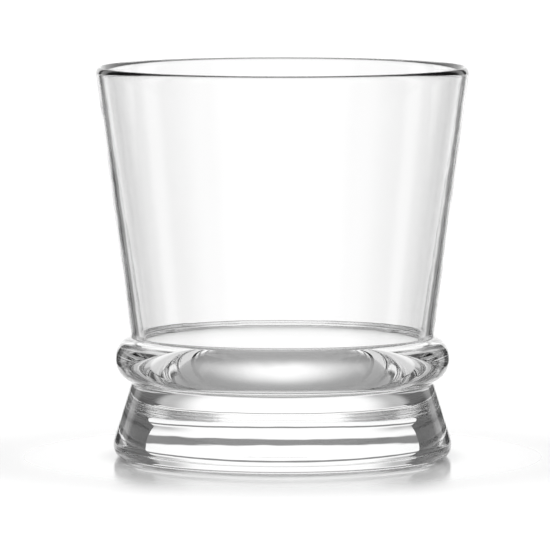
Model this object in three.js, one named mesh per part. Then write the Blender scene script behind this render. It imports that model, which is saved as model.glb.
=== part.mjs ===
import * as THREE from "three";

// A pressed-glass whiskey tumbler, one solid piece of glass turned about Z: a tapered bowl with a
// rounded bottom, a round bead under the bowl, and a flared solid foot with a shallow domed recess.
// Millimetres, +Z up. The origin is the centre of the ring that the tumbler stands on.

// Driving dimensions
const HEIGHT = 94.5;
const RIM_RADIUS = 45;
const LIP_THICKNESS = 1.67;
const LIP_HEIGHT = 2; // the lip is drawn up to a narrow half ellipse, this high

const WALL_FLARE = 0.1275; // outer wall: radius gained per millimetre of height
const NECK_Z = 28.9; // where the outer wall meets the bead
const NECK_RADIUS = 36.65;
const INNER_DRAFT = 0.14; // inner wall: radius gained per millimetre of height

const BEAD_Z = 23.8; // centre of the bead's round section
const BEAD_SECTION_RADIUS = 5.8;
const BEAD_OUTER_RADIUS = 40.45;
const BEAD_FILLET = 0.7; // in the grooves above and below the bead

const FOOT_TOP_Z = 17.7; // where the foot meets the bead
const FOOT_TOP_RADIUS = 36.7;
const FOOT_FLARE = 0.307; // foot: radius lost per millimetre of height
const HEEL_WIDTH = 2.1; // the heel's elliptical rounding, across
const HEEL_HEIGHT = 3.0; // and up

const RECESS_RADIUS = 34;
const RECESS_DEPTH = 1.5;

const BOWL_EDGE_Z = 28.5; // where the straight inner wall turns into the rounded bottom
const BOWL_BOTTOM_Z = 13;
const BOWL_EDGE_FILLET = 3;

// Facets
const AROUND = 64;
const STEP_DEGREES = 12; // turn of one facet on a small round
const WIDE_STEPS = 9; // facets on each of the two wide, flat domes

const outerWallRadius = (z) => NECK_RADIUS + (z - NECK_Z) * WALL_FLARE;
const lipCentre = new THREE.Vector2(RIM_RADIUS - LIP_THICKNESS / 2, HEIGHT - LIP_HEIGHT);
const innerWallRadius = (z) => lipCentre.x - LIP_THICKNESS / 2 - (lipCentre.y - z) * INNER_DRAFT;

// Points of an ellipse's arc about a centre, both ends included; angles in degrees from +radius.
function arc(centre, radiusAcross, radiusUp, from, to, steps) {
  const count = steps ?? Math.max(2, Math.ceil(Math.abs(to - from) / STEP_DEGREES));
  return Array.from({ length: count + 1 }, (_, i) => {
    const angle = THREE.MathUtils.degToRad(from + ((to - from) * i) / count);
    return new THREE.Vector2(
      centre.x + radiusAcross * Math.cos(angle),
      centre.y + radiusUp * Math.sin(angle),
    );
  });
}

const angleTo = (centre, x, y) => THREE.MathUtils.radToDeg(Math.atan2(y - centre.y, x - centre.x));

// The fillet between the bead and a straight flank radius = radiusAt(z) above (side 1) or
// below (side -1) it. The fillet's centre is outside the glass, one fillet radius off both.
function beadFillet(beadCentre, radiusAt, side) {
  const slope = radiusAt(1) - radiusAt(0);
  const tilt = Math.hypot(1, slope);
  const reach = BEAD_SECTION_RADIUS + BEAD_FILLET;
  let z = beadCentre.y + side * reach;
  for (let i = 0; i < 20; i++) {
    const x = radiusAt(z) + BEAD_FILLET * tilt;
    z = beadCentre.y + side * Math.sqrt(reach ** 2 - (x - beadCentre.x) ** 2);
  }
  const centre = new THREE.Vector2(radiusAt(z) + BEAD_FILLET * tilt, z);
  const flankAngle = 180 - THREE.MathUtils.radToDeg(Math.atan(slope));
  const beadAngle = angleTo(centre, beadCentre.x, beadCentre.y);
  return { centre, flankAngle, beadAngle: (beadAngle + 360) % 360 };
}

// The domed recess under the foot, from the axis out to the standing ring.
function recess() {
  const sphere = (RECESS_RADIUS ** 2 + RECESS_DEPTH ** 2) / (2 * RECESS_DEPTH);
  const centre = new THREE.Vector2(0, RECESS_DEPTH - sphere);
  const points = arc(centre, sphere, sphere, 90, angleTo(centre, RECESS_RADIUS, 0), WIDE_STEPS);
  points[0].x = 0;
  return points;
}

// The heel, tangent to the standing ring and to the foot's straight flare.
function heel() {
  const flareAtGround = FOOT_TOP_RADIUS + FOOT_TOP_Z * FOOT_FLARE;
  const offset = Math.hypot(HEEL_WIDTH, FOOT_FLARE * HEEL_HEIGHT);
  const centre = new THREE.Vector2(flareAtGround - FOOT_FLARE * HEEL_HEIGHT - offset, HEEL_HEIGHT);
  const end = THREE.MathUtils.radToDeg(Math.atan((FOOT_FLARE * HEEL_HEIGHT) / HEEL_WIDTH));
  return arc(centre, HEEL_WIDTH, HEEL_HEIGHT, -90, end);
}

// The bead with its fillets, from the foot's flare to the bowl's wall.
function bead() {
  const centre = new THREE.Vector2(BEAD_OUTER_RADIUS - BEAD_SECTION_RADIUS, BEAD_Z);
  const footRadius = (z) => FOOT_TOP_RADIUS + (FOOT_TOP_Z - z) * FOOT_FLARE;
  const below = beadFillet(centre, footRadius, -1);
  const above = beadFillet(centre, outerWallRadius, 1);
  const [start, end] = [below, above].map((f) => angleTo(centre, f.centre.x, f.centre.y));
  return [
    ...arc(below.centre, BEAD_FILLET, BEAD_FILLET, below.flankAngle, below.beadAngle, 3),
    ...arc(centre, BEAD_SECTION_RADIUS, BEAD_SECTION_RADIUS, start, end).slice(1, -1),
    ...arc(above.centre, BEAD_FILLET, BEAD_FILLET, above.beadAngle, above.flankAngle, 3),
  ];
}

// The fire-polished lip, half an ellipse from the outer wall to the inner wall.
function lip() {
  return arc(lipCentre, LIP_THICKNESS / 2, LIP_HEIGHT, 0, 180, 10);
}

// The bowl's rounded bottom: a fillet off the inner wall, then a sphere down to the axis.
function bowlBottom() {
  const edgeRadius = innerWallRadius(BOWL_EDGE_Z);
  const depth = BOWL_EDGE_Z - BOWL_BOTTOM_Z;
  const sphere = (edgeRadius ** 2 + depth ** 2) / (2 * depth);
  const sphereCentre = new THREE.Vector2(0, BOWL_BOTTOM_Z + sphere);
  const tilt = Math.hypot(1, INNER_DRAFT);
  // the fillet's centre is one fillet radius inside the wall and inside the sphere
  let z = BOWL_EDGE_Z;
  let x = 0;
  for (let i = 0; i < 40; i++) {
    x = innerWallRadius(z) - BOWL_EDGE_FILLET * tilt;
    z = sphereCentre.y - Math.sqrt((sphere - BOWL_EDGE_FILLET) ** 2 - x ** 2);
  }
  const centre = new THREE.Vector2(x, z);
  const wallAngle = -THREE.MathUtils.radToDeg(Math.atan(INNER_DRAFT));
  const sphereAngle = angleTo(sphereCentre, x, z);
  const points = [
    ...arc(centre, BOWL_EDGE_FILLET, BOWL_EDGE_FILLET, wallAngle, sphereAngle, 5),
    ...arc(sphereCentre, sphere, sphere, sphereAngle, -90, WIDE_STEPS).slice(1),
  ];
  points.at(-1).x = 0;
  return points;
}

function glassMaterial() {
  return new THREE.MeshStandardMaterial({
    color: 0xf4f8f7,
    roughness: 0.03,
    metalness: 0,
    transparent: true,
    opacity: 0.35,
  });
}

function tumbler() {
  const profile = [...recess(), ...heel(), ...bead(), ...lip(), ...bowlBottom()];
  const geometry = new THREE.LatheGeometry(profile, AROUND);
  geometry.rotateX(Math.PI / 2);
  const mesh = new THREE.Mesh(geometry, glassMaterial());
  mesh.name = "glass_tumbler";
  return mesh;
}

const group = new THREE.Group();
group.add(tumbler());

export default group;
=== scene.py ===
import math

import bmesh
import bpy
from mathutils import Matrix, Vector


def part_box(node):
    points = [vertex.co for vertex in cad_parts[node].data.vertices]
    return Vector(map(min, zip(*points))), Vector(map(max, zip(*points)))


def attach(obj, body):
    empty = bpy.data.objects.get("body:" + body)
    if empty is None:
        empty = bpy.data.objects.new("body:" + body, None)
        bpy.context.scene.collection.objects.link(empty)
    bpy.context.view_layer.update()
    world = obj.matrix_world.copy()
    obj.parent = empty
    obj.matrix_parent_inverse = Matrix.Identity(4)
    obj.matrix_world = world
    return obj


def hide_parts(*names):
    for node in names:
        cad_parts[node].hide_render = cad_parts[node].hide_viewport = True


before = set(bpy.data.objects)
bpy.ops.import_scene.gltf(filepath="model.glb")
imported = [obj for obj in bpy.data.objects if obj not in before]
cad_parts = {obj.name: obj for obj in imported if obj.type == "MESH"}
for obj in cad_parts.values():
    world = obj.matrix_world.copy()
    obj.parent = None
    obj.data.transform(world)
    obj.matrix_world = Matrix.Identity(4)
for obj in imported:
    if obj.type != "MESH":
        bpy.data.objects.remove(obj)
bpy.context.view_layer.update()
LOW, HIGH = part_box("glass_tumbler")

MM = 0.001

# The tumbler, in millimetres. Its height and rim come from the frame.
HEIGHT = HIGH.z / MM
RIM_RADIUS = HIGH.x / MM
LIP_THICKNESS = 1.67
LIP_HEIGHT = 2.0
WALL_FLARE = 0.1275
NECK_Z = 28.9
NECK_RADIUS = 36.65
INNER_DRAFT = 0.14
BEAD_Z = 23.8
BEAD_SECTION_RADIUS = 5.8
BEAD_OUTER_RADIUS = 40.45
BEAD_FILLET = 0.7
FOOT_TOP_Z = 17.7
FOOT_TOP_RADIUS = 36.7
FOOT_FLARE = 0.307
HEEL_WIDTH = 2.1
HEEL_HEIGHT = 3.0
RECESS_RADIUS = 34.0
RECESS_DEPTH = 1.5
BOWL_EDGE_Z = 28.5
BOWL_BOTTOM_Z = 13.0
BOWL_EDGE_FILLET = 3.0

# How finely the surface is cut
AROUND = 256
FINEST_STEP = 0.05
WIDEST_STEP = 1.5
STEP_GROWTH = 1.7
RECESS_STEPS = 40
HEEL_STEPS = 24
FILLET_STEPS = 10
BEAD_STEPS = 60
LIP_STEPS = 32
BOWL_EDGE_STEPS = 12
BOWL_STEPS = 60
SETTLING_ROUNDS = 80
ON_AXIS = 1e-6

# Glass
GLASS_IOR = 1.5
CLOUD_SCALE = 9.0
CLOUD_TINT = 0.985
HAZE_SCALE = 70.0
HAZE_ROUGHNESS = 0.012
WAVE_SCALE = 90.0
WAVE_HEIGHT = 0.03

# The camera, in millimetres, and its shift as a share of the frame; it sees as far as FAR_CLIP metres
CAMERA_DISTANCE = 1449.0
CAMERA_HEIGHT = 170.0
LENS = 393.1
SHIFT_X = -0.01364
SHIFT_Y = -0.02455
SENSOR_WIDTH = 36
FAR_CLIP = 100

# The table, in millimetres and as shares of white, and the white room
# Near the tumbler the table is painted a darker grey than further out, a painted shade, and under the foot
# darker still, a painted shadow.
TABLE_PAINTED_SHADE_COLOUR = 0.62
TABLE_ROUGHNESS = 0.15
TABLE_SPECULAR = 0.5
MATT_COLOUR = 0.82
MATT_ROUGHNESS = 0.5
GLOSS_START = 50.0
GLOSS_END = 88.0
TABLE_SIZE = 6000.0
TABLE_GAP = 0.03
NEAR_TABLE_RADIUS = 46.0
SHADE_START = 36.0
SHADE_END = 46.0
SHADED_COLOUR = 0.25
TABLE_STEPS = 128
ROOM_LIGHT = 1.35

# The soft bow of light painted on the table under the foot, in millimetres and degrees: a glowing sheet
# there, painted as dim shade with one bow of painted light like a caustic
GLOW_PATCH_RADIUS = 33.0
PAINTED_SHADE_UNDER_FOOT = 0.33
GLOW_LIGHT = 0.75
GLOW_CENTRE_Y = 3.0
GLOW_RADIUS = 24.0
GLOW_INNER_WIDTH = 0.9
GLOW_OUTER_WIDTH = 1.8
GLOW_SPREAD = 53.0
GLOW_STEP = 0.3
GLOW_TURNS = 180

# The light tent, in degrees and as shares of white
TENT_RADIUS = 10000.0
WHITE = 1.05
GAP_LOW = 6.6
GAP_HIGH = 10.5
GAP_SOFT = 0.4
GAP_LIGHT = 0.22
# Below the horizon the tent stands for the table seen through the glass. Its darker stretches there are
# painted shade on that table, towards the sides behind the tumbler and looking steeply down.
LOW_EDGE_START = 20.0
LOW_EDGE_END = 31.0
LOW_EDGE_PAINTED_SHADE = 0.5
LOW_EDGE_TOP = 5.0
LOW_EDGE_SOFT = 4.0
UNDER_START = 20.0
UNDER_END = 60.0
UNDER_PAINTED_SHADE = 0.45
LOW_SIDE_START = 34.0
LOW_SIDE_END = 40.0
LOW_SIDE_PAINTED_SHADE = 0.1
UPPER_START = 24.0
UPPER_END = 36.0
UPPER_LIGHT = 0.75
SIDE_START = 55.0
SIDE_END = 75.0
SIDE_LIGHT = 0.3
FRONT_START = 100.0
FRONT_END = 125.0
FRONT_LIGHT = 1.0
CEILING_START = 50.0
CEILING_END = 62.0
CEILING_LIGHT = 1.05

# The two side boards stand left and right of the tumbler, in millimetres. Each band of a board runs
# from one y to a smaller y, towards the camera, and fades from one share of white to another.
BOARD_X = 82.0
BOARD_BEND = 105.0
BOARD_TOP = 150.0
BOARD_LEAN = 0.83
BOARD_BACK = 170.0
BOARD_BANDS = [  # (back y, front y, light at the back, light at the front)
    (170.0, 68.0, 0.09, 0.09),
    (68.0, 56.0, 0.09, 0.9),
    (56.0, 40.0, 0.9, 0.9),
    (40.0, 28.0, 0.9, 0.07),
    (28.0, 6.0, 0.07, 0.07),
    (6.0, -14.0, 0.07, 0.3),
    (-14.0, -45.0, 0.3, 0.3),
    (-45.0, -80.0, 0.3, 1.0),
]


def arc(centre, across, up, start, end, steps):
    """Points of an ellipse's arc, both ends included; angles in degrees from +radius."""
    points = []
    for i in range(steps + 1):
        angle = math.radians(start + (end - start) * i / steps)
        points.append((centre[0] + across * math.cos(angle), centre[1] + up * math.sin(angle)))
    return points


def angle_to(centre, point):
    """The direction from a centre to a point, in degrees from +radius."""
    return math.degrees(math.atan2(point[1] - centre[1], point[0] - centre[0]))


def straight(start, end):
    """Points between two corners, close together near both, so that shading stays true there."""
    length = math.dist(start, end)
    step = FINEST_STEP
    reached = 0.0
    places = []
    while reached + step < length / 2:
        reached += step
        places.append(reached)
        step = min(step * STEP_GROWTH, WIDEST_STEP)
    places += [length - place for place in reversed(places)]
    return [
        (start[0] + (end[0] - start[0]) * p / length, start[1] + (end[1] - start[1]) * p / length)
        for p in places
    ]


def wall_radius(z):
    """The bowl's outside."""
    return NECK_RADIUS + (z - NECK_Z) * WALL_FLARE


def foot_radius(z):
    """The foot's flare."""
    return FOOT_TOP_RADIUS + (FOOT_TOP_Z - z) * FOOT_FLARE


def inner_radius(z):
    """The bowl's inside."""
    return RIM_RADIUS - LIP_THICKNESS - (HEIGHT - LIP_HEIGHT - z) * INNER_DRAFT


def recess():
    """The shallow dome under the foot, from the axis to the standing ring."""
    sphere = (RECESS_RADIUS**2 + RECESS_DEPTH**2) / (2 * RECESS_DEPTH)
    centre = (0, RECESS_DEPTH - sphere)
    points = arc(centre, sphere, sphere, 90, angle_to(centre, (RECESS_RADIUS, 0)), RECESS_STEPS)
    return [(0, RECESS_DEPTH)] + points[1:]


def heel():
    """The rounding from the standing ring to the foot's flare."""
    offset = math.hypot(HEEL_WIDTH, FOOT_FLARE * HEEL_HEIGHT)
    centre = (foot_radius(0) - FOOT_FLARE * HEEL_HEIGHT - offset, HEEL_HEIGHT)
    end = math.degrees(math.atan(FOOT_FLARE * HEEL_HEIGHT / HEEL_WIDTH))
    return arc(centre, HEEL_WIDTH, HEEL_HEIGHT, -90, end, HEEL_STEPS)


def bead_fillet(bead_centre, radius_at, side):
    """The fillet between the bead and the flank above (side 1) or below (side -1) it: centre, two angles."""
    slope = radius_at(1) - radius_at(0)
    tilt = math.hypot(1, slope)
    reach = BEAD_SECTION_RADIUS + BEAD_FILLET
    z = bead_centre[1] + side * reach
    for _ in range(SETTLING_ROUNDS):
        x = radius_at(z) + BEAD_FILLET * tilt
        z = bead_centre[1] + side * math.sqrt(reach**2 - (x - bead_centre[0]) ** 2)
    centre = (radius_at(z) + BEAD_FILLET * tilt, z)
    return centre, 180 - math.degrees(math.atan(slope)), angle_to(centre, bead_centre) % 360


def bead():
    """The bead with its fillets, from the foot to the bowl's wall."""
    centre = (BEAD_OUTER_RADIUS - BEAD_SECTION_RADIUS, BEAD_Z)
    lower, lower_flank, lower_bead = bead_fillet(centre, foot_radius, -1)
    upper, upper_flank, upper_bead = bead_fillet(centre, wall_radius, 1)
    below = arc(lower, BEAD_FILLET, BEAD_FILLET, lower_flank, lower_bead, FILLET_STEPS)
    start = angle_to(centre, lower)
    end = angle_to(centre, upper)
    round_part = arc(centre, BEAD_SECTION_RADIUS, BEAD_SECTION_RADIUS, start, end, BEAD_STEPS)
    above = arc(upper, BEAD_FILLET, BEAD_FILLET, upper_bead, upper_flank, FILLET_STEPS)
    return below + round_part[1:-1] + above


def lip():
    """The fire-polished lip, half an ellipse."""
    across = LIP_THICKNESS / 2
    return arc((RIM_RADIUS - across, HEIGHT - LIP_HEIGHT), across, LIP_HEIGHT, 0, 180, LIP_STEPS)


def bowl_bottom():
    """The rounded inner bottom: a fillet off the wall, then a sphere down to the axis."""
    edge = inner_radius(BOWL_EDGE_Z)
    depth = BOWL_EDGE_Z - BOWL_BOTTOM_Z
    sphere = (edge**2 + depth**2) / (2 * depth)
    sphere_centre = (0, BOWL_BOTTOM_Z + sphere)
    tilt = math.hypot(1, INNER_DRAFT)
    z = BOWL_EDGE_Z
    for _ in range(SETTLING_ROUNDS):
        x = inner_radius(z) - BOWL_EDGE_FILLET * tilt
        z = sphere_centre[1] - math.sqrt((sphere - BOWL_EDGE_FILLET) ** 2 - x**2)
    wall_angle = -math.degrees(math.atan(INNER_DRAFT))
    sphere_angle = angle_to(sphere_centre, (x, z))
    edge_arc = arc((x, z), BOWL_EDGE_FILLET, BOWL_EDGE_FILLET, wall_angle, sphere_angle, BOWL_EDGE_STEPS)
    bottom = arc(sphere_centre, sphere, sphere, sphere_angle, -90, BOWL_STEPS)
    return edge_arc + bottom[1:-1] + [(0, BOWL_BOTTOM_Z)]


def profile():
    """The whole outline, from the axis under the foot round to the axis in the bowl."""
    pieces = [recess(), heel(), bead(), lip(), bowl_bottom()]
    points = pieces[0]
    for piece in pieces[1:]:
        points = points + straight(points[-1], piece[0]) + piece
    return points


def turned_mesh(name, points):
    """The outline turned about Z."""
    mesh = bmesh.new()
    rings = []
    for radius, z in points:
        if radius < ON_AXIS:
            rings.append([mesh.verts.new((0, 0, z * MM))])
            continue
        ring = []
        for k in range(AROUND):
            turn = 2 * math.pi * k / AROUND
            x = radius * MM * math.cos(turn)
            y = radius * MM * math.sin(turn)
            ring.append(mesh.verts.new((x, y, z * MM)))
        rings.append(ring)
    for lower, upper in zip(rings, rings[1:]):
        for k in range(AROUND):
            n = (k + 1) % AROUND
            if len(lower) == 1:
                mesh.faces.new((lower[0], upper[n], upper[k]))
            elif len(upper) == 1:
                mesh.faces.new((lower[k], lower[n], upper[0]))
            else:
                mesh.faces.new((lower[k], lower[n], upper[n], upper[k]))
    bmesh.ops.recalc_face_normals(mesh, faces=mesh.faces)
    data = bpy.data.meshes.new(name)
    mesh.to_mesh(data)
    mesh.free()
    data.shade_smooth()
    return data


def link(name, data):
    piece = bpy.data.objects.new(name, data)
    bpy.context.scene.collection.objects.link(piece)
    return piece


def new_material(name):
    material = bpy.data.materials.new(name)
    material.use_nodes = True
    return material, material.node_tree, material.node_tree.nodes["Principled BSDF"]


def noise(tree, scale, detail):
    """A smooth random pattern fixed to the piece; scale is in patches per metre."""
    place = tree.nodes.new("ShaderNodeTexCoord")
    pattern = tree.nodes.new("ShaderNodeTexNoise")
    pattern.inputs["Scale"].default_value = scale
    pattern.inputs["Detail"].default_value = detail
    tree.links.new(place.outputs["Object"], pattern.inputs["Vector"])
    return pattern.outputs["Fac"]


def map_range(tree, value, start, end, low, high):
    """Value's stretch from start to end, turned smoothly into low to high."""
    node = tree.nodes.new("ShaderNodeMapRange")
    node.interpolation_type = "SMOOTHSTEP"
    node.inputs["From Min"].default_value = start
    node.inputs["From Max"].default_value = end
    node.inputs["To Min"].default_value = low
    node.inputs["To Max"].default_value = high
    tree.links.new(value, node.inputs["Value"])
    return node.outputs["Result"]


def glass_material():
    """Clear glass with faint clouds of tint, a trace of haze and the soft waves of a pressed surface."""
    material, tree, shader = new_material("clear_glass")
    shader.inputs["Transmission Weight"].default_value = 1.0
    shader.inputs["IOR"].default_value = GLASS_IOR
    tint = map_range(tree, noise(tree, CLOUD_SCALE, detail=3.0), 0.3, 0.7, CLOUD_TINT, 1.0)
    haze = map_range(tree, noise(tree, HAZE_SCALE, detail=4.0), 0.4, 0.8, 0.0, HAZE_ROUGHNESS)
    bump = tree.nodes.new("ShaderNodeBump")
    bump.inputs["Strength"].default_value = 1.0
    bump.inputs["Distance"].default_value = WAVE_HEIGHT * MM
    tree.links.new(noise(tree, WAVE_SCALE, detail=2.0), bump.inputs["Height"])
    tree.links.new(tint, shader.inputs["Base Color"])
    tree.links.new(haze, shader.inputs["Roughness"])
    tree.links.new(bump.outputs["Normal"], shader.inputs["Normal"])
    return material


def tumbler():
    points = profile()
    piece = link("tumbler", turned_mesh("tumbler", points))
    piece.data.materials.append(glass_material())
    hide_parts("glass_tumbler")
    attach(piece, "root")


def smooth(value, start, end):
    """0 up to start, 1 from end on, and smooth between them."""
    share = min(max((value - start) / (end - start), 0.0), 1.0)
    return share * share * (3 - 2 * share)


def blend(first, second, share):
    return first + (second - first) * share


def table_material():
    """Glossy and painted a darker grey round the tumbler, a painted shade, matt and paler further out, and
    painted darker still where the foot stands, a painted shadow.
    """
    material, tree, shader = new_material("table")
    place = tree.nodes.new("ShaderNodeTexCoord")
    distance = tree.nodes.new("ShaderNodeVectorMath")
    distance.operation = "LENGTH"
    tree.links.new(place.outputs["Object"], distance.inputs[0])
    radius = distance.outputs["Value"]
    # Painted shade: darker near the tumbler, and darker still under the foot as painted shadow.
    near = map_range(tree, radius, SHADE_START * MM, SHADE_END * MM, SHADED_COLOUR, TABLE_PAINTED_SHADE_COLOUR)
    far = map_range(tree, radius, GLOSS_START * MM, GLOSS_END * MM, 0.0, MATT_COLOUR - TABLE_PAINTED_SHADE_COLOUR)
    colour = tree.nodes.new("ShaderNodeMath")
    colour.operation = "ADD"
    tree.links.new(near, colour.inputs[0])
    tree.links.new(far, colour.inputs[1])
    gloss = map_range(tree, radius, GLOSS_START * MM, GLOSS_END * MM, TABLE_SPECULAR, 0.0)
    rough = map_range(tree, radius, SHADE_END * MM, GLOSS_END * MM, TABLE_ROUGHNESS, MATT_ROUGHNESS)
    tree.links.new(colour.outputs["Value"], shader.inputs["Base Color"])
    tree.links.new(gloss, shader.inputs["Specular IOR Level"])
    tree.links.new(rough, shader.inputs["Roughness"])
    return material


def table_ring(name, inner, outer, material):
    z = -TABLE_GAP * MM
    steps = TABLE_STEPS
    places = []
    for radius in (inner, outer):
        for k in range(steps):
            turn = 2 * math.pi * k / steps
            places.append((radius * MM * math.cos(turn), radius * MM * math.sin(turn), z))
    faces = []
    for k in range(steps):
        n = (k + 1) % steps
        faces.append((k, steps + k, steps + n, n))
    data = bpy.data.meshes.new(name)
    data.from_pydata(places, [], faces)
    data.materials.append(material)
    piece = link(name, data)
    return piece


def table():
    """The far table is hidden from light through the glass and from gloss, which see the tent instead."""
    material = table_material()
    table_ring("table_middle", 0.0, NEAR_TABLE_RADIUS, material)
    far = table_ring("table", NEAR_TABLE_RADIUS, TABLE_SIZE, material)
    far.visible_transmission = False
    far.visible_glossy = False


def room():
    world = bpy.data.worlds.new("white_room")
    bpy.context.scene.world = world
    world.use_nodes = True
    background = world.node_tree.nodes["Background"]
    background.inputs["Color"].default_value = (1, 1, 1, 1)
    background.inputs["Strength"].default_value = ROOM_LIGHT


def tent_light(azimuth, elevation):
    """How bright the tent is in one direction; azimuth 0 is straight behind the tumbler."""
    side = abs(azimuth)
    # Below the horizon: painted shade of the table, darker towards the sides and looking down.
    edge = blend(WHITE, LOW_EDGE_PAINTED_SHADE, smooth(side, LOW_EDGE_START, LOW_EDGE_END))
    edge = blend(edge, LOW_SIDE_PAINTED_SHADE, smooth(side, LOW_SIDE_START, LOW_SIDE_END))
    edge = blend(edge, UNDER_PAINTED_SHADE, smooth(-elevation, UNDER_START, UNDER_END))
    light = blend(edge, WHITE, smooth(elevation, LOW_EDGE_TOP - LOW_EDGE_SOFT, LOW_EDGE_TOP))
    gap = smooth(elevation, GAP_LOW - GAP_SOFT, GAP_LOW + GAP_SOFT)
    gap -= smooth(elevation, GAP_HIGH - GAP_SOFT, GAP_HIGH + GAP_SOFT)
    light = blend(light, GAP_LIGHT, gap)
    light = blend(light, UPPER_LIGHT, smooth(elevation, UPPER_START, UPPER_END))
    light = blend(light, SIDE_LIGHT, smooth(side, SIDE_START, SIDE_END))
    light = blend(light, FRONT_LIGHT, smooth(side, FRONT_START, FRONT_END))
    return blend(light, CEILING_LIGHT, smooth(elevation, CEILING_START, CEILING_END))


def painted_light(name):
    """A glowing material, for the lamps and for the painted light under the foot, as bright at each point as
    the mesh's light attribute says.
    """
    material, tree, shader = new_material(name)
    tree.nodes.remove(shader)
    paint = tree.nodes.new("ShaderNodeAttribute")
    paint.attribute_name = "light"
    glow = tree.nodes.new("ShaderNodeEmission")
    tree.links.new(paint.outputs["Color"], glow.inputs["Color"])
    tree.links.new(glow.outputs[0], tree.nodes["Material Output"].inputs["Surface"])
    material.cycles.emission_sampling = "NONE"
    return material


def angles(start, end, step):
    """Even steps from start, short of end."""
    return [start + step * i for i in range(round((end - start) / step))]


def tent(name, elevations):
    """Part of a large sphere of light round the tumbler."""
    azimuths = angles(-180, 180.5, 0.5)
    places = []
    lights = []
    for elevation in elevations:
        e = math.radians(elevation)
        for azimuth in azimuths:
            a = math.radians(azimuth)
            way = Vector((math.cos(e) * math.sin(a), math.cos(e) * math.cos(a), math.sin(e)))
            places.append(way * TENT_RADIUS * MM)
            lights.append(tent_light(azimuth, elevation))
    return lit_grid(name, places, lights, len(azimuths))


def lit_grid(name, places, lights, across):
    """A glowing mesh over rows of places, each row across places long: the tent's lamps, and the sheet of
    painted light under the foot.
    """
    faces = []
    for q in range(len(places) - across):
        if (q + 1) % across:
            faces.append((q, q + 1, q + across + 1, q + across))
    return lit_mesh(name, places, faces, lights)


def lit_mesh(name, places, faces, lights):
    """A glowing mesh that only the glass and the gloss of the table see, as bright at each point as lights
    says; the tent and the boards are lamps, the sheet under the foot is painted light.
    """
    data = bpy.data.meshes.new(name)
    data.from_pydata(places, [], faces)
    paint = data.color_attributes.new("light", "FLOAT_COLOR", "POINT")
    paint.data.foreach_set("color", [v for light in lights for v in (light, light, light, 1.0)])
    data.materials.append(painted_light(name))
    piece = link(name, data)
    piece.visible_camera = False
    piece.visible_diffuse = False
    piece.visible_shadow = False
    return piece


def painted_bow_and_shade(x, y):
    """How bright the sheet under the foot is painted: a dim painted shade, with one soft bow of painted
    light that stands for light gathered by the glass.
    """
    radius = math.hypot(x, y - GLOW_CENTRE_Y) - GLOW_RADIUS
    width = GLOW_OUTER_WIDTH if radius > 0 else GLOW_INNER_WIDTH
    turn = math.degrees(math.atan2(x, -y))
    bow = math.exp(-((radius / width) ** 2)) * math.exp(-((turn / GLOW_SPREAD) ** 2))
    return PAINTED_SHADE_UNDER_FOOT + GLOW_LIGHT * bow


def painted_light_sheet():
    # A glowing sheet between the table and the foot, no lamp: painted shade with a painted bow of light.
    turns = GLOW_TURNS
    places = []
    lights = []
    radii = [GLOW_STEP * i for i in range(int(GLOW_PATCH_RADIUS / GLOW_STEP) + 1)]
    for radius in radii:
        for k in range(turns + 1):
            turn = 2 * math.pi * k / turns
            x = radius * math.cos(turn)
            y = radius * math.sin(turn)
            places.append(Vector((x, y, -TABLE_GAP / 2)) * MM)
            lights.append(painted_bow_and_shade(x, y))
    patch = lit_grid("painted_bow_and_shade", places, lights, turns + 1)
    patch.visible_glossy = False


def side_board(side):
    """The board on the left (side -1) or right (side 1); its far edge leans forward above the bend."""
    places = []
    lights = []
    faces = []
    for back, front, back_light, front_light in BOARD_BANDS:
        first = len(places)
        corners = [(back, 0, back_light), (back, BOARD_TOP, back_light)]
        if back == BOARD_BACK:
            bend = BOARD_BACK - BOARD_LEAN * BOARD_BEND
            corners = [(back, 0, back_light), (bend, BOARD_BEND, back_light), (bend, BOARD_TOP, back_light)]
        corners += [(front, BOARD_TOP, front_light), (front, 0, front_light)]
        for y, z, light in corners:
            places.append(Vector((side * BOARD_X, y, z)) * MM)
            lights.append(light)
        faces.append(range(first, len(places)))
    lit_mesh("side_board_%d" % side, places, faces, lights)


def studio():
    """The tent, the boards and the painted light under the foot stand still, whichever way the camera looks.
    """
    tent("lower_tent", angles(-90, -10, 2.5) + angles(-10, 0.25, 0.25))
    upper = tent("upper_tent", angles(0, 20, 0.25) + angles(20, 91, 1.0))
    upper.visible_glossy = False
    painted_light_sheet()
    side_board(-1)
    side_board(1)


def camera():
    data = bpy.data.cameras.new("camera")
    piece = link("camera", data)
    bpy.context.scene.camera = piece
    middle = HEIGHT / 2
    piece.location = (0, -CAMERA_DISTANCE * MM, CAMERA_HEIGHT * MM)
    pitch = math.atan2(CAMERA_HEIGHT - middle, CAMERA_DISTANCE)
    piece.rotation_euler = (math.pi / 2 - pitch, 0, 0)
    data.sensor_width = SENSOR_WIDTH
    data.lens = LENS
    data.shift_x = SHIFT_X
    data.shift_y = SHIFT_Y
    data.clip_end = FAR_CLIP


def light_paths():
    """Enough bounces for light that turns back many times inside the glass."""
    scene = bpy.context.scene
    scene.view_settings.view_transform = "Standard"
    scene.cycles.max_bounces = 24
    scene.cycles.transmission_bounces = 24
    scene.cycles.glossy_bounces = 12
    scene.cycles.caustics_reflective = True
    scene.cycles.caustics_refractive = True
    scene.cycles.blur_glossy = 0.0
    scene.cycles.use_denoising = True


camera()
light_paths()
tumbler()
table()
room()
studio()
